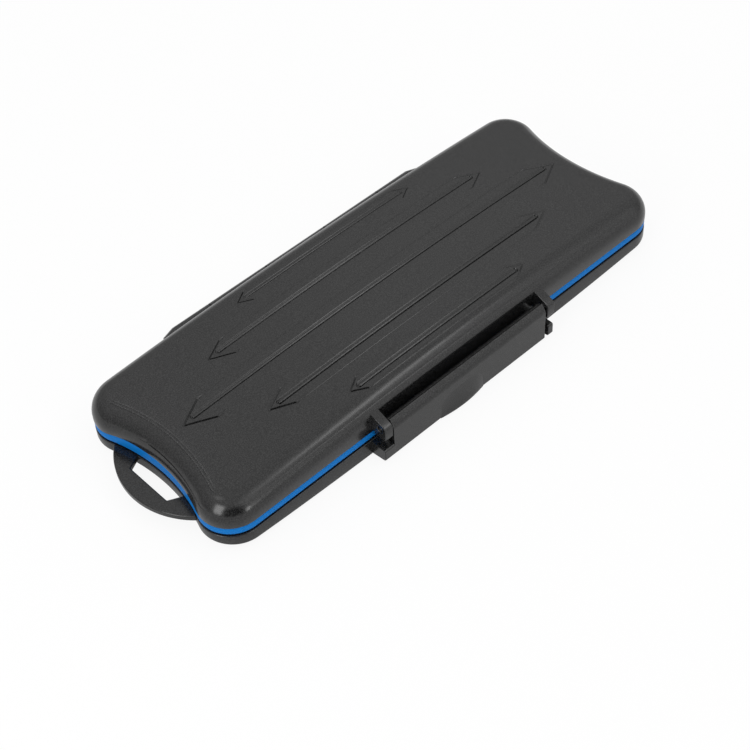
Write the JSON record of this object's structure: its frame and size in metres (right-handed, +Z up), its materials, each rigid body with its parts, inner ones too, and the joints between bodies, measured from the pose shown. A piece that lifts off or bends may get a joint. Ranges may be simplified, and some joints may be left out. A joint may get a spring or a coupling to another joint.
{
  "type": "game card case",
  "caption": "Slim hinged case for small game cards, with a crowned lid, a perimeter seal, a flap latch and a carrying loop.",
  "frame": {"origin": "centre of the flat land under the closed case", "axes": "+Z up through the lid, +X along the length away from the carrying loop, +Y across towards the hinge, so the latch is at -Y"},
  "size_m": [0.2077, 0.0899, 0.0239],
  "materials": {
    "shell": "fine matte texture, satin in the highlights",
    "tray": "matte moulded",
    "seal": "satin",
    "pin": "drawn steel"
  },
  "bodies": {
    "base": {"base_shell": "shell", "base_tray_left": "tray", "base_tray_right": "tray", "hinge_pin_left": "pin", "hinge_pin_right": "pin"},
    "lid": {"lid_shell": "shell", "seal_ring": "seal", "lid_tray_left": "tray", "lid_tray_right": "tray", "latch_pin": "pin"},
    "latch": {"latch_flap": "shell"}
  },
  "joints": [
    {"name": "lid_hinge", "type": "hinge", "parent": "base", "child": "lid", "pos_m": [0, 0.0426, 0.0085], "axis": [-1, 0, 0], "range_deg": [0, 150]},
    {"name": "latch_hinge", "type": "hinge", "parent": "lid", "child": "latch", "pos_m": [0, -0.0406, 0.0141], "axis": [-1, 0, 0], "range_deg": [0, 110]}
  ]
}
